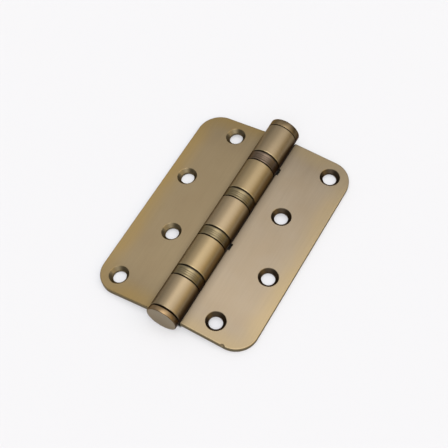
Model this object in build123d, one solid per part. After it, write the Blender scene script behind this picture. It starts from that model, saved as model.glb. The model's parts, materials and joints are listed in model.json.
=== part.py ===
from build123d import *
import math
import os

# Ball bearing butt hinge with two leaves, five knuckles and four thrust bearings.
# Millimetres. The barrel lies along Y and the leaves spread along X, opened a
# little past flat, so the barrel's underside and both outer edges touch Z = 0.
# The origin is under the middle of the barrel. +Y points to the top tip.

# Leaves, pressed from one sheet each
leaf_length = 100.0        # along the barrel
leaf_width = 37.5          # barrel axis to the outer edge
sheet = 2.5                # thickness
corner_radius = 10.0       # of the two outer corners
edge_round = 0.35          # rounding of the edge on the show side
closed_gap = 2.5           # between the show faces when the hinge is shut

# Barrel
barrel_radius = 7.0
knuckle_count = 5
knuckle_length = 16.0      # of each knuckle between the end ones
bearing_height = 5.33      # room for a bearing between two knuckles
stack_shift = 0.15         # the inner knuckles sit this much nearer the top
knuckle_round = 0.35       # rounding at both ends of a knuckle
swage_bend = 2.0           # inner radius of the bend that offsets leaf from barrel
seam_gap = 0.45            # rolled end to the leaf's face
turning_gap = 0.2          # barrel radius to the edge of the other leaf's cut-out
relief_length = 3.4        # notch in a cut-out's edge, beside a bearing's far end
relief_depth = 0.9         # into the leaf

# Screw holes: two rows, staggered
hole_radius = 3.0
countersink_radius = 4.45
countersink_angle = 90.0
hole_count = 4
end_margin = 8.0           # first hole to the leaf's end
edge_margin = 9.2          # far row to the leaf's outer edge
row_stagger = 9.0          # between the two rows

# Nick in the right leaf's lower edge
nick_radius = 1.3
nick_depth = 0.75
nick_from_corner = 0.6     # from where the corner's round begins

# Pin and end tips
pin_clearance = 0.05       # radial, in the knuckles
pin_lead = 0.8             # chamfer at the pin's lower end
top_thickness = 3.2        # of the upper tip's button
bottom_thickness = 2.4     # and of the lower tip's
tip_chamfer = 0.35
top_neck = 0.2             # height that holds the upper tip's rim off its knuckle
bottom_neck = 0.5          # and the lower tip's
neck_radius = 5.2
plug_length = 6.0          # lower tip's shank, pressed into the knuckle
stud_radius = 2.0          # upper tip's shank, pressed into the pin
stud_length = 7.0
stud_air = 1.0             # room past the stud in the pin's bore
shank_chamfer = 0.5

# Thrust bearings
shell_wall = 0.6
shell_floor = 0.6
shell_bend = 0.45          # rounding of the shell's closed edge
shell_lip = 0.15           # chamfer of its open rim
shell_gap = 0.5            # open rim to the knuckle above
race_bore_clearance = 0.2  # radial, on the pin
race_side_clearance = 0.2  # upper race to the shell's wall
ball_diameter = 1.5
ball_count = 16
ball_float = 0.02          # ball to each groove
groove_depth = 0.3
groove_radius = 0.8

# Worked out from the sizes above
bore_radius = barrel_radius - sheet
pin_radius = bore_radius - pin_clearance
face_drop = closed_gap / 2                 # barrel axis to the show face
back_drop = face_drop + sheet              # barrel axis to the back face
cut_edge = barrel_radius + turning_gap     # inner edge of a cut-out
half_length = leaf_length / 2
droop = math.degrees(math.asin(barrel_radius / math.hypot(leaf_width, back_drop))
                     - math.atan2(back_drop, leaf_width))

# The swage: an arc round the pin runs on into an opposite arc, and levels out
upper_bend = swage_bend + sheet
swage_centre_drop = back_drop + swage_bend
swage_turn = math.acos(swage_centre_drop / (barrel_radius + swage_bend))
swage_end = (barrel_radius + swage_bend) * math.sin(swage_turn)
seam_angle = math.degrees(math.asin((seam_gap - face_drop) / barrel_radius))
lap = sheet / 3                            # strip laid into the leaf, to join them

# Screw holes
hole_pitch = (leaf_length - 2 * end_margin) / (hole_count - 1)
far_row = leaf_width - edge_margin
near_row = far_row - row_stagger

# Bearing
shell_inside = barrel_radius - shell_wall
race_bore = pin_radius + race_bore_clearance
upper_race_radius = shell_inside - race_side_clearance
pitch_radius = (race_bore + upper_race_radius) / 2
race_space = ball_diameter + 2 * ball_float - 2 * groove_depth
race_height = (bearing_height - shell_floor - race_space) / 2


def knuckle_spans():
    """Low and high Y of each knuckle, from the top one down."""
    inner = (knuckle_count - 2) * knuckle_length + (knuckle_count - 1) * bearing_height
    end_length = (leaf_length - inner) / 2
    lengths = [end_length - stack_shift]
    lengths += [knuckle_length] * (knuckle_count - 2)
    lengths += [end_length + stack_shift]
    spans = []
    high = half_length
    for length in lengths:
        spans.append((high - length, high))
        high -= length + bearing_height
    return spans


def turned(outline):
    """A solid of revolution about the barrel axis from points (radius, Y)."""
    return revolve(make_face(Polyline(*outline, close=True)), Axis.Y)


def knuckle(low, high):
    """One knuckle with its swaged strip, in the leaf's own frame."""
    turn = math.degrees(swage_turn)
    below = -back_drop - swage_bend
    plane = Plane.XZ.offset(-low)
    with BuildPart() as part:
        with BuildSketch(plane):
            with BuildLine():
                barrel = CenterArc((0, 0), barrel_radius, seam_angle,
                                   270 + turn - seam_angle)
                Line(barrel @ 0, (bore_radius * math.cos(math.radians(seam_angle)),
                                  bore_radius * math.sin(math.radians(seam_angle))))
                CenterArc((0, 0), bore_radius, seam_angle,
                          270 + turn - seam_angle)
                lower = CenterArc((swage_end, below), swage_bend, 90, turn)
                upper = CenterArc((swage_end, below), upper_bend, 90, turn)
                top = Line(upper @ 0, (swage_end + lap, -face_drop))
                end = Line(top @ 1, (swage_end + lap, -back_drop))
                Line(end @ 1, lower @ 0)
            make_face()
        extrude(amount=-(high - low))
        rims = [edge for edge in part.edges().filter_by(GeomType.CIRCLE)
                if abs(edge.radius - barrel_radius) < 1e-6]
        fillet(rims, knuckle_round)
    return part.part


def blank():
    """The flat of a leaf, its outer corners and show edges rounded."""
    with BuildPart() as part:
        with BuildSketch(Plane.XY.offset(-back_drop)):
            with Locations(((swage_end + leaf_width) / 2, 0)):
                Rectangle(leaf_width - swage_end, leaf_length)
            corners = [v for v in vertices() if v.X > swage_end + lap]
            fillet(corners, corner_radius)
        extrude(amount=sheet)
        face = part.faces().sort_by(Axis.Z)[-1]
        rim = [edge for edge in face.edges() if edge.center().X > swage_end + lap]
        fillet(rim, edge_round)
    return part.part


def countersunk_hole():
    """Cutter for one screw hole, its rim at the origin and its axis along Z."""
    depth = (countersink_radius - hole_radius) / math.tan(
        math.radians(countersink_angle / 2))
    cone = Pos(0, 0, -depth / 2) * Cone(hole_radius, countersink_radius, depth)
    shaft = Pos(0, 0, -sheet / 2) * Cylinder(hole_radius, 2 * sheet)
    return cone + shaft


def hole_places():
    """Rim centres of a leaf's screw holes, far row first from the top."""
    first = half_length - end_margin
    rows = (far_row, near_row)
    return [(rows[i % 2], first - i * hole_pitch, -face_drop)
            for i in range(hole_count)]


def nick_cutter():
    """Ball that takes the nick out of a leaf's lower show edge."""
    place = (leaf_width - corner_radius - nick_from_corner,
             -half_length - nick_radius + nick_depth,
             -face_drop)
    return Pos(*place) * Sphere(nick_radius)


def leaf(spans, nicked):
    """A whole leaf in its own frame: X from the barrel axis, Z off the show face."""
    body = blank()
    ordered = sorted(spans)
    edges = [-half_length] + [y for span in ordered for y in span] + [half_length]
    reach = cut_edge - swage_end
    for low, high in zip(edges[::2], edges[1::2]):
        if high - low < lap:
            continue
        middle = (swage_end + reach / 2, (low + high) / 2, -face_drop - sheet / 2)
        body -= Pos(*middle) * Box(reach, high - low, 2 * sheet)
    for low, high in ordered:
        body += knuckle(low, high)
        if high < half_length - lap:
            notch = (cut_edge + relief_depth / 2 - lap / 2,
                     high + bearing_height - relief_length / 2,
                     -face_drop - sheet / 2)
            body -= Pos(*notch) * Box(relief_depth + lap, relief_length, 2 * sheet)
    for place in hole_places():
        body -= Pos(*place) * countersunk_hole()
    if nicked:
        body -= nick_cutter()
    return body


def on_floor(shape):
    """Lift a shape from the barrel axis to its place over the floor."""
    return Pos(0, 0, barrel_radius) * shape


def right_leaf(spans):
    """The leaf on the +X side."""
    return on_floor(Rot(0, droop, 0) * leaf(spans, nicked=True))


def left_leaf(spans):
    """The leaf on the -X side, made as the right one and turned half round."""
    flipped = [(-high, -low) for low, high in spans]
    return on_floor(Rot(0, -droop, 0) * Rot(0, 0, 180) * leaf(flipped, nicked=False))


def tip(neck, thickness, shank_radius, shank_length):
    """A button tip with its shank, pointing along +Y, the neck's seat at Y = 0."""
    rim = barrel_radius
    high = neck + thickness
    return turned([
        (0, -shank_length),
        (shank_radius - shank_chamfer, -shank_length),
        (shank_radius, -shank_length + shank_chamfer),
        (shank_radius, 0),
        (neck_radius, 0),
        (neck_radius, neck),
        (rim - tip_chamfer, neck),
        (rim, neck + tip_chamfer),
        (rim, high - tip_chamfer),
        (rim - tip_chamfer, high),
        (0, high),
    ])


def hinge_pin():
    """The pin, from the lower tip's plug to the upper tip's seat."""
    low = -half_length + plug_length
    bore_end = half_length - stud_length - stud_air
    return turned([
        (0, low),
        (pin_radius - pin_lead, low),
        (pin_radius, low + pin_lead),
        (pin_radius, half_length),
        (stud_radius, half_length),
        (stud_radius, bore_end),
        (0, bore_end),
    ])


def shell(low):
    """Drawn cup round a bearing, its closed end down on the knuckle below."""
    rim = low + bearing_height - shell_gap
    floor = low + shell_floor
    with BuildPart() as part:
        with BuildSketch():
            with BuildLine():
                Polyline((race_bore, low), (barrel_radius, low), (barrel_radius, rim),
                         (shell_inside, rim), (shell_inside, floor),
                         (race_bore, floor), close=True)
            make_face()
            outer = [v for v in vertices() if v.X > barrel_radius - shell_lip]
            fillet([v for v in outer if v.Y < floor], shell_bend)
            chamfer([v for v in outer if v.Y > floor], shell_lip)
        revolve(axis=Axis.Y)
    return part.part


def race(low, outside, groove_up):
    """Hardened washer with a ball groove in its upper or lower face."""
    high = low + race_height
    sink = groove_radius - groove_depth
    centre = high + sink if groove_up else low - sink
    washer = turned([(race_bore, low), (outside, low), (outside, high),
                     (race_bore, high)])
    groove = Torus(pitch_radius, groove_radius)
    return washer - Pos(0, centre, 0) * Rot(90, 0, 0) * groove


def balls(low):
    """The ring of balls of one bearing, as separate solids."""
    centre = low + shell_floor + race_height + race_space / 2
    ball = Sphere(ball_diameter / 2)
    ring = []
    for i in range(ball_count):
        angle = math.radians(i * 360 / ball_count)
        place = (pitch_radius * math.cos(angle), centre,
                 pitch_radius * math.sin(angle))
        ring.append(on_floor(Pos(*place) * ball))
    return Compound(ring)


def bearing(low):
    """Shell, lower race, balls and upper race of the bearing that starts at Y = low."""
    lower_race = low + shell_floor
    upper_race = low + bearing_height - race_height
    return {
        "shell": on_floor(shell(low)),
        "lower_race": on_floor(race(lower_race, shell_inside, groove_up=True)),
        "balls": balls(low),
        "upper_race": on_floor(race(upper_race, upper_race_radius, groove_up=False)),
    }


def main():
    """Build every piece and write each to its own file."""
    spans = knuckle_spans()
    pieces = {
        "leaf_left": left_leaf(spans[::2]),
        "leaf_right": right_leaf(spans[1::2]),
        "hinge_pin": on_floor(hinge_pin()),
        "top_tip": on_floor(Pos(0, half_length, 0)
                            * tip(top_neck, top_thickness, stud_radius, stud_length)),
        "bottom_tip": on_floor(Pos(0, -half_length, 0) * Rot(0, 0, 180)
                               * tip(bottom_neck, bottom_thickness, bore_radius,
                                     plug_length)),
    }
    for number, span in enumerate(spans[1:], start=1):
        for name, shape in bearing(span[1]).items():
            pieces[f"bearing_{number}_{name}"] = shape
    os.makedirs("parts", exist_ok=True)
    for name, shape in pieces.items():
        export_step(shape, f"parts/{name}.step")


main()
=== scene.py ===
"""Looks of a ball bearing butt hinge in antique bronze, dressed over its CAD frame.

The barrel lies along Y and the leaves spread along X. Sizes are in millimetres
and turn to metres only where they meet Blender.
"""

import json
import logging
import math
from collections.abc import Sequence
from dataclasses import dataclass, field
from enum import Enum

import bpy
from mathutils import Matrix, Quaternion, Vector

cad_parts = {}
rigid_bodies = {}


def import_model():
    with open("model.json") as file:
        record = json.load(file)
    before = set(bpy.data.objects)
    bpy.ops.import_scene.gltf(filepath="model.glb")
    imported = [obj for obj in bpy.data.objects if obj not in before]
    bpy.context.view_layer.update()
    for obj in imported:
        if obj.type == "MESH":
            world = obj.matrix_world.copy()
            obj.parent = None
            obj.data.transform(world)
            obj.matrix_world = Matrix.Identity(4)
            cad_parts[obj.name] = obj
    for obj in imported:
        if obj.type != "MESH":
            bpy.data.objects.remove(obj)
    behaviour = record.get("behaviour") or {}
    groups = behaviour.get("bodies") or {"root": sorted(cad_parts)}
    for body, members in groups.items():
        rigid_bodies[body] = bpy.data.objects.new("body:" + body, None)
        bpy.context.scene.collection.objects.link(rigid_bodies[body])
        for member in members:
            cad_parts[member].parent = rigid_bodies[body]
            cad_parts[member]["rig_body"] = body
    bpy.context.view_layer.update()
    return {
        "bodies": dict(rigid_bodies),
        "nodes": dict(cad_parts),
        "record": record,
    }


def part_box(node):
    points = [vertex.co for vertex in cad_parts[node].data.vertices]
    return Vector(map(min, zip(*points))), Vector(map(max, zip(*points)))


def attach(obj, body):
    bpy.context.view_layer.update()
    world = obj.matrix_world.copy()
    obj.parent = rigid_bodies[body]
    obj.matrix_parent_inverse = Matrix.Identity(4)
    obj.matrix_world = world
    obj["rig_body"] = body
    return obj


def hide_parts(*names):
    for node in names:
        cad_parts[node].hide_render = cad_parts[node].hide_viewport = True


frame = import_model()

Tree = bpy.types.NodeTree
Socket = bpy.types.NodeSocket
Span = tuple[float, float]         # where something sets in and where it is full, or ends

MM = 0.001
SHEET = 2.5                        # thickness of both leaves
WELD = 0.001                       # points of a mesh closer than this are joined
EDGE_TINT = "#c0ae98"              # reflection at a grazing angle, dulled by the oxide
LACQUER_ROUGHNESS = 0.3
RELIEF = 0.02                      # depth of the marks that brush and lathe leave
MARKS: Span = (0.3, 0.7)           # noise over which a mark goes from dark to light
PATCHES: Span = (0.35, 0.65)       # noise over which a patch fades in
FLANK_SHADE_SHARE = 0.95                 # share of light that the painted shade down the right flank takes away
FLANK_SHADE_DEPTH: Span = (0.7, 0.4)     # under the barrel's surface, where that painted shade fades in
FLANK_SHADE_TURNS: tuple[Span, Span] = ((65, 93), (112, 135))  # degrees from the crown where the painted shade sets in, and where it ends
TURNED_SHADE_TURNS: tuple[Span, Span] = ((20, 38), (112, 135))  # the same for the painted shade over a turned part's right half
LOG = logging.getLogger("hinge")


class Side(Enum):
    """The two leaves, by the side of the barrel that they lie on."""

    LEFT = "left"
    RIGHT = "right"


def linear(code: str) -> tuple[float, float, float, float]:
    """Turn an sRGB hex colour to a linear one.

    Args:
        code: Colour as "#rrggbb".

    Returns:
        Red, green, blue and an alpha of 1, all linear.
    """
    parts = [int(code[i:i + 2], 16) / 255 for i in (1, 3, 5)]
    red, green, blue = (
        c / 12.92 if c <= 0.04045 else ((c + 0.055) / 1.055) ** 2.4 for c in parts
    )
    return red, green, blue, 1.0


def add_node(tree: Tree, kind: str, inputs: dict | None = None,
             **settings: object) -> bpy.types.Node:
    """Add one node with its settings and links.

    Args:
        tree: Node tree that gets the node.
        kind: Blender's name for the node, without its leading "ShaderNode".
        inputs: Value or output socket for inputs, by their name or place.
        **settings: Properties of the node itself.

    Returns:
        The new node.
    """
    made = tree.nodes.new("ShaderNode" + kind)
    for name, value in settings.items():
        setattr(made, name, value)
    for key, value in (inputs or {}).items():
        if isinstance(value, Socket):
            tree.links.new(value, made.inputs[key])
        else:
            made.inputs[key].default_value = value
    return made


def new_material(name: str) -> tuple[bpy.types.Material, Tree]:
    """Start a material with an empty node tree.

    Args:
        name: Name of the finish.

    Returns:
        The material and its tree.
    """
    material = bpy.data.materials.new(name)
    material.use_nodes = True
    material.node_tree.nodes.clear()
    return material, material.node_tree


def dress(piece: bpy.types.Object, material: bpy.types.Material) -> None:
    """Give a piece one material in place of any that it had."""
    piece.data.materials.clear()
    piece.data.materials.append(material)


@dataclass(frozen=True)
class BarrelAxis:
    """The line that the hinge turns about, read from the frame."""

    height: float
    radius: float
    half_length: float
    pin_radius: float
    low_rim: float                 # Y of the lowest knuckle's lower end
    pitch: float                   # from one knuckle to the next

    @classmethod
    def from_frame(cls) -> "BarrelAxis":
        """Read the barrel's height and sizes off a tip, a leaf, the pin and two bearings.

        Returns:
            The axis, in mm.
        """
        low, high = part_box("top_tip")
        leaf_low, leaf_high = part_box("leaf_right")
        pin_low, pin_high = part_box("hinge_pin")
        ends = [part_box(f"bearing_{number}_shell")[1].y / MM for number in (3, 4)]
        return cls(height=(low.z + high.z) / 2 / MM, radius=(high.z - low.z) / 2 / MM,
                   half_length=(leaf_high.y - leaf_low.y) / 2 / MM,
                   pin_radius=(pin_high.z - pin_low.z) / 2 / MM,
                   low_rim=ends[1] - (ends[0] - ends[1]), pitch=ends[0] - ends[1])


AXIS = BarrelAxis.from_frame()


@dataclass(frozen=True)
class LeafPlan:
    """Where a leaf's plane, outline and screw holes are, in its own frame.

    X runs from the barrel axis to the outer edge, Y along the barrel and Z off
    the show face.
    """

    side: Side
    droop: float                   # radians that its plane tilts down, off level
    show_drop: float               # barrel axis to the show face
    holes: tuple[tuple[float, float], ...]
    half_turn: float               # pi for the left leaf, whose X runs to the left
    width: float = 37.5            # barrel axis to the outer edge
    corner: float = 10.0
    countersink: float = 4.45      # radius at the show face

    @classmethod
    def from_record(cls, side: Side) -> "LeafPlan":
        """Work the plan out from the leaf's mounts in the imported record.

        Args:
            side: The leaf.

        Returns:
            Its plan.
        """
        mounts = [m for m in frame["record"]["mounts"]
                  if m["name"].startswith(side.value) and m["kind"] == "bolt_pattern"]
        tilt = mounts[0]["axis"]
        droop = math.atan2(abs(tilt[0]), tilt[2])
        half_turn = math.pi if side is Side.LEFT else 0.0
        place = (Matrix.Translation((0, 0, AXIS.height * MM))
                 @ Matrix.Rotation(half_turn, 4, "Z") @ Matrix.Rotation(droop, 4, "Y"))
        centres = [place.inverted() @ Vector(m["pos_m"]) / MM for m in mounts]
        holes = []
        for mount, centre in zip(mounts, centres):
            reach = mount["dims"]["pcd_mm"] / 2
            holes += [(centre.x, centre.y + reach), (centre.x, centre.y - reach)]
        show_drop = -centres[-1].z - SHEET
        return cls(side, droop, show_drop, tuple(holes), half_turn)


@dataclass
class Place:
    """Where a shading point lies, in mm, in the frame of the barrel or of a leaf."""

    tree: Tree
    droop: float = 0.0
    half_turn: float = 0.0
    local: Socket = field(init=False)
    across: Socket = field(init=False)   # from the barrel axis to the outer edge
    along: Socket = field(init=False)    # down the barrel axis
    up: Socket = field(init=False)       # off the show face
    radius: Socket = field(init=False)   # distance from the barrel axis
    turn: Socket = field(init=False)     # angle about it, from the crown

    def __post_init__(self) -> None:
        """Add the nodes that measure the point."""
        tree = self.tree
        coords = add_node(tree, "TexCoord").outputs["Object"]
        self.local = add_node(tree, "Mapping", {
            "Vector": coords, "Location": (0, 0, AXIS.height * MM),
            "Rotation": (0, self.droop, self.half_turn), "Scale": (MM, MM, MM)},
            vector_type="TEXTURE").outputs[0]
        split = add_node(tree, "SeparateXYZ", {0: self.local})
        self.across, self.along, self.up = split.outputs
        section = add_node(tree, "CombineXYZ", {0: self.across, 1: self.up}).outputs[0]
        self.radius = add_node(tree, "VectorMath", {0: section},
                               operation="LENGTH").outputs[1]
        self.turn = add_node(tree, "Math", {0: self.across, 1: self.up},
                             operation="ARCTAN2").outputs[0]


def flank_shade(place: Place, colour: Socket, turns: tuple[Span, Span] = FLANK_SHADE_TURNS,
                oxide: float = FLANK_SHADE_SHARE) -> Socket:
    """Paint shade down the barrel's right flank.

    Args:
        place: Where the point lies.
        colour: Colour in the open.
        turns: Degrees from the crown over which it sets in, and over which it ends.
        oxide: Share of light that the painted shade takes away.

    Returns:
        Colour darkened by painted shade down that flank, and not on the crown, underneath or on
        an end.
    """
    tree = place.tree
    turn = add_node(tree, "Math", {0: place.turn, 1: math.cos(place.half_turn)},
                    operation="MULTIPLY").outputs[0]
    shares = [add_node(tree, "MapRange",
                       {0: turn, 1: math.radians(start), 2: math.radians(end), 4: oxide},
                       interpolation_type="SMOOTHSTEP").outputs[0]
              for start, end in turns]
    kept = add_node(tree, "Math", {0: shares[0], 1: shares[1]}, operation="SUBTRACT").outputs[0]
    outside = add_node(tree, "MapRange", {
        0: place.radius, 1: AXIS.radius - FLANK_SHADE_DEPTH[0],
        2: AXIS.radius - FLANK_SHADE_DEPTH[1]}).outputs[0]
    kept = add_node(tree, "Math", {0: kept, 1: outside}, operation="MULTIPLY").outputs[0]
    open_share = add_node(tree, "Math", {0: 1.0, 1: kept}, operation="SUBTRACT").outputs[0]
    return add_node(tree, "VectorMath", {0: colour, "Scale": open_share},
                    operation="SCALE").outputs[0]


def lacquer(tree: Tree, colour: Socket, roughness: float | Socket, coat: float,
            marks: Socket, bump: float) -> None:
    """Close a bronze's tree: metal with fine marks under a thin lacquer.

    Args:
        tree: Node tree of the finish.
        colour: Colour of the metal with its oxide, painted shade and painted highlight.
        roughness: Roughness of the metal.
        coat: Weight of the lacquer.
        marks: Height of the marks, from 0 to 1.
        bump: How strongly the marks turn the light.
    """
    normal = add_node(tree, "Bump", {"Strength": bump, "Distance": RELIEF * MM,
                                     "Height": marks}).outputs[0]
    shader = add_node(tree, "BsdfPrincipled", {
        "Base Color": colour, "Metallic": 1.0, "Roughness": roughness,
        "Specular Tint": linear(EDGE_TINT), "Normal": normal, "Coat Weight": coat,
        "Coat Roughness": LACQUER_ROUGHNESS})
    add_node(tree, "OutputMaterial", {0: shader.outputs[0]})


@dataclass(frozen=True)
class LeafTones:
    """What the oxide and the brush leave of the bronze's colour on one leaf."""

    patina: str
    knuckle: str
    recess: str                    # in the countersinks
    gold: str                      # along the outer edges


@dataclass(frozen=True)
class AntiqueBronze:
    """Antique bronze: bronze plate on steel, oxidised, brushed back and lacquered.

    The oxide gives a brown of low reflectance, brushing draws out fine streaks,
    and the metal shows through more golden near the edges, where the brush bit.
    The lacquer adds a pale gloss under broad light.
    """

    plan: LeafPlan
    tones: LeafTones
    patina_warm: str = "#7d6a50"
    # rubbed metal at the outer edge with painted highlight on it, and painted highlight on the
    # knuckles' lower ends
    worn_and_highlight: str = "#b8a680"
    sheared: str = "#6f6a5a"
    warmth: float = 0.25           # share of the warmer patina in its patches
    cloud: float = 14.0            # size of the patches
    grain: float = 0.45            # between brush streaks: drawn coarse, to show
    grain_run: float = 16.0        # length of a streak
    streak_tone: float = 0.04      # how far a streak lightens or darkens
    roughness: float = 0.36
    streak_rough: float = 0.04     # how far a streak changes it
    bump: float = 0.12
    coat: float = 0.15
    barrel_fade: Span = (0.05, 0.6)  # off the barrel, where its tones give way to the flat's
    barrel_side_shade: float = 0.27           # share of light that painted shade takes next to the barrel, on the flat
    barrel_side_shade_reach: float = 4.5
    gold_reach: float = 10.0       # how far the golden margin fades in
    gold_least: float = 0.6        # share of the gold that its thinner patches keep
    rim_rub_and_highlight_width: float = 0.3          # how far the rounded edge is rubbed and carries painted highlight
    rim_rub_and_highlight: float = 0.35          # and how much of the oxide is gone, with painted highlight, right at the edge
    knuckle_end_highlight: float = 0.8          # painted highlight on the lower end of a knuckle
    knuckle_end_highlight_fade: Span = (0.4, 0.9)    # how far from that end the painted highlight fades out
    end_shade: float = 0.84         # painted shade: of the middle's brightness, at either end of the hinge
    end_shade_reach: float = 22.0        # and how far from the end it starts
    wall_skin: Span = (-0.1, -0.02)  # from the outline, where the sheared wall begins
    wall_drop: Span = (0.3, 0.6)   # under the show face, where it begins
    recess_fade: float = 0.25      # inside a countersink's rim

    def build(self) -> bpy.types.Material:
        """Make the material for one leaf and its knuckles.

        Returns:
            The finished material.
        """
        material, tree = new_material(f"brushed_antique_bronze_{self.plan.side.value}")
        place = Place(tree, self.plan.droop, self.plan.half_turn)
        near, far = self.barrel_fade
        barrel = add_node(tree, "MapRange", {
            0: place.radius, 1: AXIS.radius + near, 2: AXIS.radius + far, 3: 1.0,
            4: 0.0}).outputs[0]
        away = add_node(tree, "Math", {0: 1.0, 1: barrel}, operation="SUBTRACT").outputs[0]
        margin = self._edge_distance(place)
        streak = self._streaks(place, barrel)
        colour = self._patina(place, margin, barrel, away)
        colour = self._wear_and_highlight(place, colour, margin, barrel, away)
        colour = self._tone(place, colour, streak, away)
        colour = self._shear(place, colour, margin)
        # Painted shade down the knuckles' right flank.
        shaded = flank_shade(place, colour)
        colour = add_node(tree, "Mix", {0: barrel, 6: colour, 7: shaded},
                          data_type="RGBA").outputs[2]
        colour = self._recesses(place, colour)
        rough = add_node(tree, "MapRange", {
            0: streak, 1: MARKS[0], 2: MARKS[1], 3: self.roughness - self.streak_rough,
            4: self.roughness + self.streak_rough}).outputs[0]
        lacquer(tree, colour, rough, self.coat, streak, self.bump)
        return material

    def _edge_distance(self, place: Place) -> Socket:
        """Measure to the leaf's rounded outline.

        Args:
            place: Where the point lies.

        Returns:
            Distance in mm, negative inside the outline.
        """
        tree, corner = place.tree, self.plan.corner
        mirrored = add_node(tree, "Math", {0: place.along}, operation="ABSOLUTE").outputs[0]
        point = add_node(tree, "CombineXYZ", {0: place.across, 1: mirrored}).outputs[0]
        core = (self.plan.width - corner, AXIS.half_length - corner, 0)
        offset = add_node(tree, "VectorMath", {0: point, 1: core},
                          operation="SUBTRACT").outputs[0]
        outer = add_node(tree, "VectorMath", {0: offset, 1: (0, 0, 0)},
                         operation="MAXIMUM").outputs[0]
        reach = add_node(tree, "VectorMath", {0: outer}, operation="LENGTH").outputs[1]
        parts = add_node(tree, "SeparateXYZ", {0: offset}).outputs
        larger = add_node(tree, "Math", {0: parts[0], 1: parts[1]},
                          operation="MAXIMUM").outputs[0]
        inner = add_node(tree, "Math", {0: larger, 1: 0.0}, operation="MINIMUM").outputs[0]
        total = add_node(tree, "Math", {0: reach, 1: inner}, operation="ADD").outputs[0]
        return add_node(tree, "Math", {0: total, 1: corner}, operation="SUBTRACT").outputs[0]

    def _streaks(self, place: Place, barrel: Socket) -> Socket:
        """Draw brush streaks, lengthwise on the leaf and around the knuckles.

        Args:
            place: Where the point lies.
            barrel: 1 on the knuckles and 0 on the flat.

        Returns:
            Noise from 0 to 1, drawn out along the streaks.
        """
        tree = place.tree
        flat = add_node(tree, "Mapping", {"Vector": place.local, "Scale": (
            1 / self.grain, 1 / self.grain_run, 1 / self.grain)}).outputs[0]
        arc = add_node(tree, "Math", {0: place.turn, 1: AXIS.radius / self.grain_run},
                       operation="MULTIPLY").outputs[0]
        row = add_node(tree, "Math", {0: place.along, 1: 1 / self.grain},
                       operation="MULTIPLY").outputs[0]
        wrapped = add_node(tree, "CombineXYZ", {0: arc, 1: row}).outputs[0]
        point = add_node(tree, "Mix", {0: barrel, 4: flat, 5: wrapped},
                         data_type="VECTOR").outputs[1]
        return add_node(tree, "TexNoise", {"Vector": point, "Scale": 1.0, "Detail": 3.0,
                                           "Roughness": 0.6}).outputs[0]

    def _patina(self, place: Place, margin: Socket, barrel: Socket, away: Socket) -> Socket:
        """Colour the oxide: warmer patches, the knuckles' own tone and a golden margin.

        Args:
            place: Where the point lies.
            margin: Distance to the outline.
            barrel: 1 on the knuckles and 0 on the flat.
            away: The reverse of it.

        Returns:
            Colour before wear and shade.
        """
        tree = place.tree
        cloud = add_node(tree, "TexNoise", {"Vector": place.local, "Scale": 1 / self.cloud,
                                            "Detail": 3.0}).outputs[0]
        patch = add_node(tree, "MapRange", {0: cloud, 1: PATCHES[0], 2: PATCHES[1], 3: 0.0,
                                            4: self.warmth}).outputs[0]
        colour = add_node(tree, "Mix", {0: patch, 6: linear(self.tones.patina),
                                        7: linear(self.patina_warm)},
                          data_type="RGBA").outputs[2]
        colour = add_node(tree, "Mix", {0: barrel, 6: colour, 7: linear(self.tones.knuckle)},
                          data_type="RGBA").outputs[2]
        near = add_node(tree, "MapRange", {0: margin, 1: -self.gold_reach, 2: 0.0},
                        interpolation_type="SMOOTHSTEP").outputs[0]
        golden = add_node(tree, "Math", {0: near, 1: away}, operation="MULTIPLY").outputs[0]
        uneven = add_node(tree, "MapRange", {0: cloud, 1: PATCHES[0], 2: PATCHES[1],
                                             3: self.gold_least, 4: 1.0}).outputs[0]
        golden = add_node(tree, "Math", {0: golden, 1: uneven},
                          operation="MULTIPLY").outputs[0]
        return add_node(tree, "Mix", {0: golden, 6: colour, 7: linear(self.tones.gold)},
                        data_type="RGBA").outputs[2]

    def _wear_and_highlight(self, place: Place, colour: Socket, margin: Socket, barrel: Socket,
              away: Socket) -> Socket:
        """Rub the oxide off the rounded outer edge with a painted highlight on it, and paint a
        highlight on each knuckle's lower end.

        Args:
            place: Where the point lies.
            colour: Colour before wear and painted highlight.
            margin: Distance to the outline.
            barrel: 1 on the knuckles and 0 on the flat.
            away: The reverse of it.

        Returns:
            Colour with the rubbed metal and the painted highlights in it.
        """
        tree = place.tree
        # Rubbed outer edge, with painted highlight on it.
        rub_and_highlight = add_node(tree, "MapRange", {0: margin, 1: -self.rim_rub_and_highlight_width, 2: 0.0,
                                          3: 0.0, 4: self.rim_rub_and_highlight}).outputs[0]
        rub_and_highlight = add_node(tree, "Math", {0: rub_and_highlight, 1: away}, operation="MULTIPLY").outputs[0]
        # Painted highlight on each knuckle's lower end.
        upward = add_node(tree, "Math", {
            0: place.along, 1: math.cos(place.half_turn), 2: AXIS.pitch - AXIS.low_rim},
            operation="MULTIPLY_ADD").outputs[0]
        past = add_node(tree, "Math", {0: upward, 1: AXIS.pitch},
                        operation="MODULO").outputs[0]
        ends = add_node(tree, "MapRange", {0: past, 1: self.knuckle_end_highlight_fade[0], 2: self.knuckle_end_highlight_fade[1],
                                           3: self.knuckle_end_highlight, 4: 0.0}).outputs[0]
        ends = add_node(tree, "Math", {0: ends, 1: barrel}, operation="MULTIPLY").outputs[0]
        rub_and_highlight = add_node(tree, "Math", {0: rub_and_highlight, 1: ends}, operation="ADD").outputs[0]
        return add_node(tree, "Mix", {0: rub_and_highlight, 6: colour, 7: linear(self.worn_and_highlight)},
                        data_type="RGBA").outputs[2]

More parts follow.
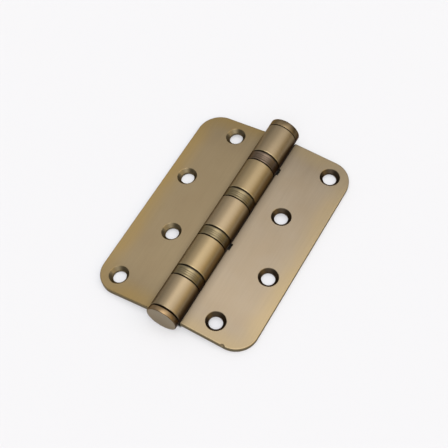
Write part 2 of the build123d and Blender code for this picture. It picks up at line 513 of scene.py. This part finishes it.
    def _tone(self, place: Place, colour: Socket, streak: Socket, away: Socket) -> Socket:
        """Lighten and darken the colour by streak, and darken it with painted shade next to the
        barrel and towards the ends.

        Args:
            place: Where the point lies.
            colour: Colour before it.
            streak: Noise of the brush streaks.
            away: 0 on the knuckles and 1 on the flat.

        Returns:
            The colour, scaled.
        """
        tree = place.tree
        shade = add_node(tree, "MapRange", {
            0: streak, 1: MARKS[0], 2: MARKS[1], 3: 1 - self.streak_tone,
            4: 1 + self.streak_tone}).outputs[0]
        # Painted shade next to the barrel, on the flat only.
        oxide = add_node(tree, "MapRange", {
            0: place.across, 1: AXIS.radius, 2: AXIS.radius + self.barrel_side_shade_reach,
            3: self.barrel_side_shade, 4: 0.0}, interpolation_type="SMOOTHSTEP").outputs[0]
        oxide = add_node(tree, "Math", {0: oxide, 1: away}, operation="MULTIPLY").outputs[0]
        bare = add_node(tree, "Math", {0: 1.0, 1: oxide}, operation="SUBTRACT").outputs[0]
        shade = add_node(tree, "Math", {0: shade, 1: bare}, operation="MULTIPLY").outputs[0]
        # Painted shade towards both ends of the hinge.
        out = add_node(tree, "Math", {0: place.along}, operation="ABSOLUTE").outputs[0]
        ended = add_node(tree, "MapRange", {
            0: out, 1: AXIS.half_length - self.end_shade_reach, 2: AXIS.half_length, 3: 1.0,
            4: self.end_shade}, interpolation_type="SMOOTHSTEP").outputs[0]
        shade = add_node(tree, "Math", {0: shade, 1: ended}, operation="MULTIPLY").outputs[0]
        return add_node(tree, "VectorMath", {0: colour, "Scale": shade},
                        operation="SCALE").outputs[0]

    def _shear(self, place: Place, colour: Socket, margin: Socket) -> Socket:
        """Tone the sheared outer walls, under the rounded show edge.

        Args:
            place: Where the point lies.
            colour: Colour of the show face.
            margin: Distance to the outline.

        Returns:
            Colour with the walls in it.
        """
        tree, face = place.tree, -self.plan.show_drop
        outer = add_node(tree, "MapRange", {0: margin, 1: self.wall_skin[0],
                                            2: self.wall_skin[1]}).outputs[0]
        below = add_node(tree, "MapRange", {0: place.up, 1: face - self.wall_drop[0],
                                            2: face - self.wall_drop[1]}).outputs[0]
        wall = add_node(tree, "Math", {0: outer, 1: below}, operation="MULTIPLY").outputs[0]
        return add_node(tree, "Mix", {0: wall, 6: colour, 7: linear(self.sheared)},
                        data_type="RGBA").outputs[2]

    def _recesses(self, place: Place, colour: Socket) -> Socket:
        """Darken the countersinks, where the oxide was never brushed back.

        Args:
            place: Where the point lies.
            colour: Colour of the show face.

        Returns:
            Colour with the countersinks in it.
        """
        tree = place.tree
        point = add_node(tree, "CombineXYZ", {0: place.across, 1: place.along}).outputs[0]
        nearest: Socket | None = None
        for x, y in self.plan.holes:
            reach = add_node(tree, "VectorMath", {0: point, 1: (x, y, 0)},
                             operation="DISTANCE").outputs[1]
            nearest = reach if nearest is None else add_node(
                tree, "Math", {0: nearest, 1: reach}, operation="MINIMUM").outputs[0]
        rim = add_node(tree, "Math", {0: nearest, 1: self.plan.countersink},
                       operation="SUBTRACT").outputs[0]
        inside = add_node(tree, "MapRange", {0: rim, 1: 0.0, 2: -self.recess_fade}).outputs[0]
        return add_node(tree, "Mix", {0: inside, 6: colour, 7: linear(self.tones.recess)},
                        data_type="RGBA").outputs[2]


@dataclass(frozen=True)
class TurnedBronze:
    """Antique bronze on a turned part: dark oxide with fine marks of the lathe.

    The marks run round the part, so light draws out across them.
    """

    name: str
    patina: str
    light: str
    coat: float = 0.1
    roughness: float = 0.28
    painted_gap_shade: float = 0.1          # painted shade: tone of what lies under the turned surface, in its grooves and gaps
    under: Span = (0.25, 0.03)     # how far under it that painted shade fades out
    right_half_shade: float = 0.33             # share of light that painted shade takes over the right half
    mark: float = 0.3              # between the lathe's marks: drawn coarse, to show
    mark_run: float = 2.0          # radians that a mark runs before it changes
    bump: float = 0.1

    def build(self) -> bpy.types.Material:
        """Make the material.

        Returns:
            The finished material.
        """
        material, tree = new_material(self.name)
        place = Place(tree)
        polar = add_node(tree, "CombineXYZ", {0: place.turn, 1: place.along,
                                              2: place.radius}).outputs[0]
        step = add_node(tree, "VectorMath", {
            0: polar, 1: (1 / self.mark_run, 1 / self.mark, 1 / self.mark)},
            operation="MULTIPLY").outputs[0]
        lathe = add_node(tree, "TexNoise", {"Vector": step, "Scale": 1.0, "Detail": 2.0,
                                            "Roughness": 0.7}).outputs[0]
        shade = add_node(tree, "MapRange", {0: lathe, 1: MARKS[0], 2: MARKS[1]}).outputs[0]
        colour = add_node(tree, "Mix", {0: shade, 6: linear(self.patina),
                                        7: linear(self.light)},
                          data_type="RGBA").outputs[2]
        # Painted shade down the right flank, as on the knuckles.
        colour = flank_shade(place, colour)
        # Painted shade over the turned part's right half.
        colour = flank_shade(place, colour, TURNED_SHADE_TURNS, self.right_half_shade)
        colour = self._by_place(place, colour)
        lacquer(tree, colour, self.roughness, self.coat, lathe, self.bump)
        return material

    def _by_place(self, place: Place, colour: Socket) -> Socket:
        """Paint shade on all that lies under the turned surface, in its grooves and gaps.

        Args:
            place: Where the point lies.
            colour: Colour of the turned surface.

        Returns:
            The colour, darker underneath.
        """
        deep, shallow = self.under
        tone = add_node(place.tree, "MapRange", {
            0: place.radius, 1: AXIS.radius - deep, 2: AXIS.radius - shallow,
            3: self.painted_gap_shade, 4: 1.0}).outputs[0]
        return add_node(place.tree, "VectorMath", {0: colour, "Scale": tone},
                        operation="SCALE").outputs[0]


@dataclass(frozen=True)
class TipBronze(TurnedBronze):
    """Turned bronze of a tip, whose end face is plainer and greyer than its band."""

    face: str = "#938c7e"
    face_rim: Span = (0.35, 0.2)   # inside the barrel's radius, where the face ends
    neck: float = 0.2              # height of the gap under the rim
    neck_fade: float = 0.03
    line: float = 0.5              # painted shade: tone of the thin dark line round the face
    line_inset: float = 0.3        # inside the barrel's radius
    line_fade: Span = (0.05, 0.2)  # off the line's middle, where its tone fades out

    def _by_place(self, place: Place, colour: Socket) -> Socket:
        """Tone the end face, and paint shade on the line round it and in the gap under the rim.

        Args:
            place: Where the point lies.
            colour: Colour of the band.

        Returns:
            The colour for each of them.
        """
        tree = place.tree
        inside = add_node(tree, "MapRange", {
            0: place.radius, 1: AXIS.radius - self.face_rim[0],
            2: AXIS.radius - self.face_rim[1], 3: 1.0, 4: 0.0}).outputs[0]
        colour = add_node(tree, "Mix", {0: inside, 6: colour, 7: linear(self.face)},
                          data_type="RGBA").outputs[2]
        # Painted shade on the thin line round the face.
        off_line = add_node(tree, "Math", {0: place.radius, 1: AXIS.radius - self.line_inset},
                            operation="SUBTRACT").outputs[0]
        off_line = add_node(tree, "Math", {0: off_line}, operation="ABSOLUTE").outputs[0]
        line = add_node(tree, "MapRange", {
            0: off_line, 1: self.line_fade[0], 2: self.line_fade[1], 3: self.line,
            4: 1.0}).outputs[0]
        # Painted shade in the gap under the rim.
        reach = add_node(tree, "Math", {0: place.along}, operation="ABSOLUTE").outputs[0]
        rim = AXIS.half_length + self.neck
        gap = add_node(tree, "MapRange", {0: reach, 1: rim, 2: rim + self.neck_fade,
                                          3: self.painted_gap_shade, 4: 1.0}).outputs[0]
        tone = add_node(tree, "Math", {0: line, 1: gap}, operation="MULTIPLY").outputs[0]
        return add_node(tree, "VectorMath", {0: colour, "Scale": tone},
                        operation="SCALE").outputs[0]


@dataclass(frozen=True)
class BareSteel:
    """Bare steel, ground or polished: neutral grey, with the wheel's fine marks."""

    name: str
    colour: str
    roughness: float
    spread: float = 0.2            # share by which the marks change the roughness
    mark: float = 0.2              # between marks: drawn coarse, to show
    mark_run: float = 5.0          # length of a mark

    def build(self) -> bpy.types.Material:
        """Make the material.

        Returns:
            The finished material.
        """
        material, tree = new_material(self.name)
        coords = add_node(tree, "TexCoord").outputs["Object"]
        run = 1 / (self.mark_run * MM)
        step = add_node(tree, "Mapping", {"Vector": coords, "Scale": (
            run, 1 / (self.mark * MM), run)}).outputs[0]
        marks = add_node(tree, "TexNoise", {"Vector": step, "Scale": 1.0,
                                            "Detail": 2.0}).outputs[0]
        rough = add_node(tree, "MapRange", {
            0: marks, 3: self.roughness * (1 - self.spread),
            4: self.roughness * (1 + self.spread)}).outputs[0]
        shader = add_node(tree, "BsdfPrincipled", {
            "Base Color": linear(self.colour), "Metallic": 1.0, "Roughness": rough})
        add_node(tree, "OutputMaterial", {0: shader.outputs[0]})
        return material


def spun(name: str, outline: Sequence[tuple[float, float]],
         steps: int) -> bpy.types.Object:
    """Model a piece as on a lathe: draw its outline point by point and spin it.

    Args:
        name: Name of the piece.
        outline: Closed outline as (radius, Y) in mm.
        steps: Facets round the barrel axis.

    Returns:
        The piece, at the origin with its place in its mesh.
    """
    bpy.ops.object.select_all(action="DESELECT")
    points = [Vector((radius, y, AXIS.height)) * MM for radius, y in outline]
    bpy.ops.mesh.primitive_plane_add(size=MM, location=points[0])
    piece = bpy.context.active_object
    piece.name = piece.data.name = name
    bpy.ops.object.transform_apply(location=True, rotation=True, scale=True)
    bpy.ops.object.mode_set(mode="EDIT")
    bpy.ops.mesh.select_all(action="SELECT")
    bpy.ops.mesh.merge(type="CENTER")
    for start, end in zip(points, points[1:] + points[:1]):
        bpy.ops.mesh.extrude_region_move(
            TRANSFORM_OT_translate={"value": end - start})
    bpy.ops.mesh.select_all(action="SELECT")
    bpy.ops.mesh.spin(steps=steps, angle=2 * math.pi, axis=(0, 1, 0),
                      center=(0, 0, AXIS.height * MM))
    bpy.ops.mesh.select_all(action="SELECT")
    bpy.ops.mesh.remove_doubles(threshold=WELD * MM)
    bpy.ops.mesh.normals_make_consistent(inside=False)
    bpy.ops.object.mode_set(mode="OBJECT")
    return piece


def soften(piece: bpy.types.Object, width: float, segments: int = 2,
           limit: float = 40.0, crease: float = 35.0) -> None:
    """Round a piece's sharp edges with an applied bevel and smooth its shading.

    Args:
        piece: The piece, which becomes the active object.
        width: Width of the bevel in mm.
        segments: Facets over each rounded edge.
        limit: Least angle in degrees between faces that counts as sharp.
        crease: Least angle in degrees that still shades as an edge.
    """
    bpy.ops.object.select_all(action="DESELECT")
    piece.select_set(True)
    bpy.context.view_layer.objects.active = piece
    bevel = piece.modifiers.new("rounded edges", "BEVEL")
    bevel.width = width * MM
    bevel.segments = segments
    bevel.limit_method = "ANGLE"
    bevel.angle_limit = math.radians(limit)
    bpy.ops.object.modifier_apply(modifier=bevel.name)
    bpy.ops.object.shade_smooth_by_angle(angle=math.radians(crease))


@dataclass
class LeafPair:
    """Both leaves with their knuckles: CAD solids, dressed in brushed bronze."""

    left: LeafTones = LeafTones("#847459", "#83735a", "#5f543f", "#8c7549")
    right: LeafTones = LeafTones("#837664", "#827154", "#3a3024", "#8b7a5c")

    def dress_all(self) -> None:
        """Give each leaf its finish."""
        for side, tones in ((Side.LEFT, self.left), (Side.RIGHT, self.right)):
            plan = LeafPlan.from_record(side)
            node = f"leaf_{side.value}"
            dress(frame["nodes"][node], AntiqueBronze(plan, tones).build())
            LOG.info("%s dressed, with %d screw holes", node, len(plan.holes))


@dataclass
class ThrustBearing:
    """One thrust bearing: a drawn and turned cup round two races and their balls."""

    number: int
    wall: float = 0.6
    floor: float = 0.6
    bend: float = 0.3
    bend_facets: int = 5
    foot: float = 0.3              # height of the narrower foot under its closed end
    foot_step: float = 0.7         # and how far that foot stands back
    lip: float = 0.2
    rim_drop: float = 0.15         # open rim short of the body's end
    clearance: float = 0.2         # bore to the pin
    groove: float = 0.05           # depth of each turned groove
    pitch: float = 0.9             # and from one groove to the next
    bite: float = 0.2              # half the width of a groove
    steps: int = 144
    crease: float = 25.0           # degrees that still shade as an edge

    def outline(self, low: float, high: float) -> list[tuple[float, float]]:
        """Draw the cup's section.

        Args:
            low: Y of its closed end.
            high: Y of its open rim.

        Returns:
            Closed outline as (radius, Y).
        """
        outer = AXIS.radius
        inner = outer - self.wall
        bore = AXIS.pin_radius + self.clearance
        base, high = low + self.foot, high - self.rim_drop
        points = [(bore, low), (outer - self.foot_step, low), (outer - self.foot_step, base)]
        for i in range(self.bend_facets + 1):
            turn = math.radians(90 / self.bend_facets * i)
            points.append((outer - self.bend + self.bend * math.sin(turn),
                           base + self.bend - self.bend * math.cos(turn)))
        first = base + self.bend + self.pitch
        count = int((high - self.lip - first) / self.pitch)
        for i in range(count):
            y = first + i * self.pitch
            points += [(outer, y - self.bite), (outer - self.groove, y),
                       (outer, y + self.bite)]
        points += [(outer, high - self.lip), (outer - self.lip, high), (inner, high),
                   (inner, low + self.floor), (bore, low + self.floor)]
        return points

    def build(self, bronze: bpy.types.Material, race: bpy.types.Material,
              ball: bpy.types.Material) -> bpy.types.Object:
        """Model the cup, seat it on its body and dress what it holds.

        Args:
            bronze: Finish of the cup.
            race: Finish of both races.
            ball: Finish of the balls.

        Returns:
            The cup.
        """
        stem = f"bearing_{self.number}"
        node = f"{stem}_shell"
        low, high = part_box(node)
        cup = spun(f"{stem}_turned_cup", self.outline(low.y / MM, high.y / MM), self.steps)
        bpy.ops.object.shade_smooth_by_angle(angle=math.radians(self.crease))
        dress(cup, bronze)
        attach(cup, frame["nodes"][node]["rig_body"])
        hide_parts(node)
        for part, finish in (("lower_race", race), ("upper_race", race), ("balls", ball)):
            dress(frame["nodes"][f"{stem}_{part}"], finish)
        LOG.info("%s: cup of %.2f mm", stem, (high.y - low.y) / MM)
        return cup


@dataclass
class TipButton:
    """The button that closes one end of the barrel, turned with a rolled rim."""

    node: str
    neck: float                    # height that holds the rim off its knuckle
    rim: float                     # how far its rims are rounded
    neck_radius: float = 5.2
    crown: float = 0.06            # the face stands this much proud at its middle
    steps: int = 144
    rim_facets: int = 4

    def build(self, bronze: bpy.types.Material) -> bpy.types.Object:
        """Model the button in the place of its CAD solid.

        Args:
            bronze: Its finish.

        Returns:
            The button.
        """
        low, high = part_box(self.node)
        outward = 1 if high.y > -low.y else -1
        seat = outward * AXIS.half_length
        face = (high.y if outward > 0 else low.y) / MM
        outer = AXIS.radius
        base = seat + outward * self.neck
        outline = [(0, seat), (self.neck_radius, seat), (self.neck_radius, base),
                   (outer, base), (outer, face - outward * self.crown), (0, face)]
        button = spun(f"{self.node}_button", outline, self.steps)
        soften(button, self.rim, segments=self.rim_facets)
        dress(button, bronze)
        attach(button, frame["nodes"][self.node]["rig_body"])
        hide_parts(self.node)
        LOG.info("%s: button to Y %.2f mm", self.node, face)
        return button


def way_to(azimuth: float, elevation: float) -> Vector:
    """Turn two angles to a direction.

    Args:
        azimuth: Degrees from +Y towards +X.
        elevation: Degrees off the floor.

    Returns:
        Unit vector that points that way.
    """
    turn, rise = math.radians(azimuth), math.radians(elevation)
    return Vector((math.sin(turn) * math.cos(rise), math.cos(turn) * math.cos(rise),
                   math.sin(rise)))


@dataclass(frozen=True)
class Softbox:
    """One square studio light, aimed at the hinge."""

    name: str
    azimuth: float                 # degrees from +Y towards +X
    elevation: float
    distance: float                # metres
    size: float                    # metres
    power: float

    def build(self) -> None:
        """Hang the light and aim it at the hinge."""
        way = way_to(self.azimuth, self.elevation)
        bpy.ops.object.select_all(action="DESELECT")
        bpy.ops.object.light_add(type="AREA", location=way * self.distance)
        light = bpy.context.active_object
        light.name = self.name
        light.rotation_mode = "QUATERNION"
        light.rotation_quaternion = way.to_track_quat("Z", "Y")
        light.data.shape = "SQUARE"
        light.data.size = self.size
        light.data.energy = self.power


@dataclass(frozen=True)
class Glow:
    """One soft bright patch of the studio's dome."""

    name: str
    azimuth: float                 # degrees from +Y towards +X
    elevation: float
    strength: float
    tint: str = "#ffffff"          # of the card that throws it


@dataclass
class Studio:
    """Pale floor, a dome that glows in soft patches and one broad softbox overhead."""

    floor_size: float = 60.0       # metres, so that its edge stays near the horizon
    floor_colour: str = "#8e8e90"
    backlight: float = 1.5         # light that the paper lets through from below
    # painted shadow on the floor under the barrel
    painted_shadow_colour: str = "#0c0c0b"
    backdrop: float = 0.95         # how bright the paper is where it shows behind the hinge
    fade: float = 0.8              # over which the painted shadow's edge fades
    strip_more: float = 3.0        # that the painted shadow runs on under the top tip
    clear_drop: float = 2.0        # drop of the floor at which the painted shadow is gone
    ambient: float = 0.08          # even glow of the whole dome
    focus: float = 14.0            # how closely each glow keeps to its middle
    glows: tuple[Glow, ...] = (
        Glow("overhead", azimuth=0, elevation=90, strength=5.2),
        Glow("right_rear_high", azimuth=60, elevation=68, strength=1.5),
        Glow("right_rear", azimuth=60, elevation=45, strength=2.0),
        Glow("right_low", azimuth=90, elevation=22, strength=2.8, tint="#ffe6a8"),
        Glow("left_rear", azimuth=300, elevation=45, strength=1.4),
        Glow("left_low", azimuth=290, elevation=5, strength=0.75),
        Glow("front", azimuth=150, elevation=52, strength=4.5),
        Glow("rear_low", azimuth=0, elevation=15, strength=0.8),
        Glow("right_front_low", azimuth=125, elevation=12, strength=0.5),
        Glow("front_low", azimuth=185, elevation=12, strength=0.6),
        Glow("left_front_low", azimuth=240, elevation=15, strength=0.6),
    )
    softboxes: tuple[Softbox, ...] = (
        Softbox("overhead_softbox", azimuth=74, elevation=80, distance=1.2, size=1.0,
                power=0.5),
    )

    def build(self) -> None:
        """Lay the floor and light it."""
        self._floor()
        self._dome()
        for softbox in self.softboxes:
            softbox.build()

    def _floor(self) -> None:
        """Lay the floor, which sinks with the right leaf's outer edge.

        A leaf that swings down then stays in sight. The floor never rises past Z 0.
        """
        edge = self._leaf_edge()
        bpy.ops.object.select_all(action="DESELECT")
        bpy.ops.mesh.primitive_plane_add(size=self.floor_size)
        floor = bpy.context.active_object
        floor.name = "floor"
        follow = floor.constraints.new("COPY_LOCATION")
        follow.target = edge
        follow.use_x = follow.use_y = False
        at_most = floor.constraints.new("LIMIT_LOCATION")
        at_most.use_max_z = True
        dress(floor, self._paper())

    def _leaf_edge(self) -> bpy.types.Object:
        """Mark the right leaf's outer back edge.

        Returns:
            An empty that swings with the leaf.
        """
        low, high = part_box("leaf_right")
        bpy.ops.object.select_all(action="DESELECT")
        bpy.ops.object.empty_add(location=(high.x, 0, low.z))
        edge = bpy.context.active_object
        edge.name = "leaf_edge_mark"
        edge.parent = frame["bodies"][frame["nodes"]["leaf_right"]["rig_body"]]
        return edge

    def _paper(self) -> bpy.types.Material:
        """Make white matt paper, lit a little from below.

        It has a painted shadow on the strip that the barrel keeps light off, while it touches
        the hinge.

        Returns:
            The finished material.
        """
        material, tree = new_material("white_paper_floor")
        coords = add_node(tree, "TexCoord").outputs["Object"]
        centred = add_node(tree, "VectorMath",
                           {0: coords, 1: (0, self.strip_more / 2 * MM, 0)},
                           operation="SUBTRACT").outputs[0]
        aside = add_node(tree, "VectorMath", {0: centred}, operation="ABSOLUTE").outputs[0]
        across, along, _ = add_node(tree, "SeparateXYZ", {0: aside}).outputs
        half_strip = AXIS.half_length + self.strip_more / 2
        strips = [add_node(tree, "MapRange", {
            0: reach, 1: (side - self.fade) * MM, 2: side * MM, 3: 1.0, 4: 0.0}).outputs[0]
                  for reach, side in ((across, AXIS.radius), (along, half_strip))]
        # Painted shadow under the barrel, while the floor touches the hinge.
        painted_shadow = add_node(tree, "Math", {0: strips[0], 1: strips[1]},
                          operation="MULTIPLY").outputs[0]
        middle = add_node(tree, "ObjectInfo").outputs["Location"]
        level = add_node(tree, "SeparateXYZ", {0: middle}).outputs[2]
        touching = add_node(tree, "MapRange", {0: level, 1: -self.clear_drop * MM,
                                               2: 0.0}).outputs[0]
        painted_shadow = add_node(tree, "Math", {0: painted_shadow, 1: touching},
                          operation="MULTIPLY").outputs[0]
        colour = add_node(tree, "Mix", {0: painted_shadow, 6: linear(self.floor_colour),
                                        7: linear(self.painted_shadow_colour)},
                          data_type="RGBA").outputs[2]
        shader = add_node(tree, "BsdfPrincipled", {
            "Base Color": colour, "Roughness": 0.9, "Emission Color": colour,
            "Emission Strength": self.backlight})
        add_node(tree, "OutputMaterial", {0: shader.outputs[0]})
        return material

    def _dome(self) -> None:
        """Light the scene from all round, patch by patch."""
        world = bpy.data.worlds.new("studio_dome")
        world.use_nodes = True
        tree = world.node_tree
        tree.nodes.clear()
        sight = add_node(tree, "TexCoord").outputs["Generated"]
        total: Socket | tuple[float, ...] = (self.ambient,) * 3
        for glow in self.glows:
            facing = add_node(tree, "VectorMath", {
                0: sight, 1: way_to(glow.azimuth, glow.elevation)},
                operation="DOT_PRODUCT", label=glow.name).outputs[1]
            ahead = add_node(tree, "Math", {0: facing, 1: 0.0}, operation="MAXIMUM").outputs[0]
            fade = add_node(tree, "Math", {0: ahead, 1: self.focus},
                            operation="POWER").outputs[0]
            bright = tuple(glow.strength * part for part in linear(glow.tint)[:3])
            total = add_node(tree, "VectorMath", {0: fade, 1: bright, 2: total},
                             operation="MULTIPLY_ADD").outputs[0]
        seen = add_node(tree, "LightPath").outputs["Is Camera Ray"]
        total = add_node(tree, "Mix", {0: seen, 4: total, 5: (self.backdrop,) * 3},
                         data_type="VECTOR").outputs[1]
        shader = add_node(tree, "Background", {"Color": total, "Strength": 1.0})
        add_node(tree, "OutputWorld", {0: shader.outputs[0]})
        bpy.context.scene.world = world


@dataclass(frozen=True)
class PhotographersCamera:
    """Camera that sees the hinge as it is photographed, from the front right."""

    azimuth: float = 36.4066       # degrees, 0 looks along +Y
    elevation: float = 58.3049
    roll: float = -7.698
    distance: float = 452.222
    aim: tuple[float, float, float] = (0.1768, -1.9116, 7.0)
    lens: float = 85.6105
    sensor: float = 36.0
    clip_start: float = 10.0

    def build(self) -> None:
        """Set the camera up and make it the scene's own."""
        back = way_to(180 - self.azimuth, self.elevation)
        bpy.ops.object.select_all(action="DESELECT")
        bpy.ops.object.camera_add(location=(Vector(self.aim) + back * self.distance) * MM)
        camera = bpy.context.active_object
        camera.name = "photographers_camera"
        camera.rotation_mode = "QUATERNION"
        level = (-back).to_track_quat("-Z", "Y")
        camera.rotation_quaternion = level @ Quaternion((0, 0, 1), math.radians(self.roll))
        camera.data.lens = self.lens
        camera.data.sensor_width = self.sensor
        camera.data.clip_start = self.clip_start * MM
        camera.data.dof.use_dof = False
        bpy.context.scene.camera = camera


def clear_startup_objects() -> None:
    """Remove what Blender starts with, apart from the frame."""
    kept = set(frame["nodes"].values()) | set(frame["bodies"].values())
    for item in list(bpy.data.objects):
        if item not in kept:
            bpy.data.objects.remove(item)


def main() -> None:
    """Dress the frame, model the turned pieces and set the studio."""
    logging.basicConfig(level=logging.INFO, format="%(name)s: %(message)s")
    clear_startup_objects()
    LeafPair().dress_all()
    # Dark oiled steel, painted darker still to stand for the shade in the bearings' gaps.
    race = BareSteel("oiled_race_steel_painted_shade", "#2c2a28", roughness=0.35).build()
    ball = BareSteel("polished_ball_steel", "#c4c6c8", roughness=0.08).build()
    pin = BareSteel("ground_pin_steel", "#9a9b9d", roughness=0.35).build()
    # The first bearing's cup takes a darker copy of the cup bronze: painted shade.
    shaded_cup = TurnedBronze("cup_bronze_painted_shade", "#514437", "#605246").build()
    cup = TurnedBronze("turned_cup_bronze", "#61563f", "#72664e").build()
    for number in range(1, 5):
        ThrustBearing(number).build(shaded_cup if number == 1 else cup, race, ball)
    top = TipBronze("turned_top_tip_bronze", "#62533b", "#716048", painted_gap_shade=0.5, neck=0.2)
    TipButton("top_tip", top.neck, rim=0.55).build(top.build())
    bottom = TipBronze("turned_bottom_tip_bronze", "#66533a", "#735d40", coat=0.3, neck=0.6)
    TipButton("bottom_tip", bottom.neck, rim=0.25).build(bottom.build())
    dress(frame["nodes"]["hinge_pin"], pin)
    LOG.info("hinge_pin dressed")
    Studio().build()
    PhotographersCamera().build()
    bpy.context.scene.view_settings.view_transform = "Standard"


if __name__ == "__main__":
    main()
